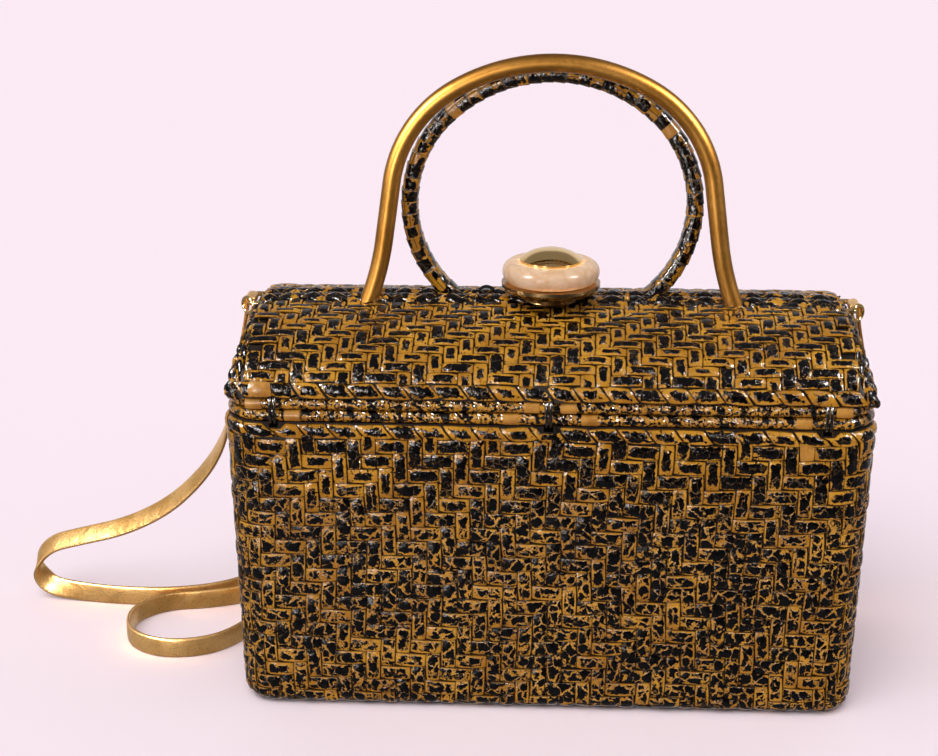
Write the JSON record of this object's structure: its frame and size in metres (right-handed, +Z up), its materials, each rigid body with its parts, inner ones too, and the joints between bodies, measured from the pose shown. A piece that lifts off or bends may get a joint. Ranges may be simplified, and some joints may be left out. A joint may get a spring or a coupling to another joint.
{
  "type": "basket handbag",
  "caption": "Woven cane basket handbag with a domed split top: a front lid on wire loops, a turning pearl clasp, a metal and a cane handle, and a narrow shoulder strap.",
  "frame": {"origin": "middle of the base on the floor", "axes": "+Z up, the front with the lid's hinge faces -Y, +X to the right seen from the front"},
  "size_m": [0.4127, 0.1869, 0.2875],
  "materials": {
    "lacquered_cane": "woven cane, black lacquer worn to ochre at the edges",
    "wrapped_cane": "cane wrapped round a core, black lacquer",
    "satin_gold": "satin gold plate",
    "pearl": "pearly cream resin",
    "black_wire": "black enamelled wire",
    "plain_steel": "plain steel",
    "lining_cloth": "plain cotton lining",
    "gold_leather": "metallic gold leather, stitched"
  },
  "bodies": {
    "basket": {"basket_body": "lacquered_cane", "back_cover": "lacquered_cane", "body_rim": "lacquered_cane", "back_cover_rim": "lacquered_cane", "cane_handle": "wrapped_cane", "strap_bails": "satin_gold", "handle_tie": "black_wire", "clasp_keeper": "plain_steel", "lining": "lining_cloth", "shoulder_strap": "gold_leather", "strap_end_left": "gold_leather", "strap_end_right": "gold_leather"},
    "lid": {"front_lid": "lacquered_cane", "front_lid_rim": "lacquered_cane", "hinge_loops": "black_wire", "metal_handle": "satin_gold", "handle_screws": "plain_steel", "handle_washers": "plain_steel", "clasp_collar": "satin_gold"},
    "clasp": {"knob_dish": "satin_gold", "knob_pearl": "pearl", "knob_cap": "satin_gold", "clasp_spindle": "plain_steel", "clasp_cam": "plain_steel", "clasp_nut": "plain_steel"}
  },
  "joints": [
    {"name": "lid_hinge", "type": "hinge", "parent": "basket", "child": "lid", "pos_m": [0, -0.0574, 0.1403], "axis": [1, 0, 0], "range_deg": [0, 100]},
    {"name": "clasp_turn", "type": "hinge", "parent": "lid", "child": "clasp", "pos_m": [0, -0.004, 0.18], "axis": [0, 0, 1], "range_deg": [0, 90]}
  ]
}
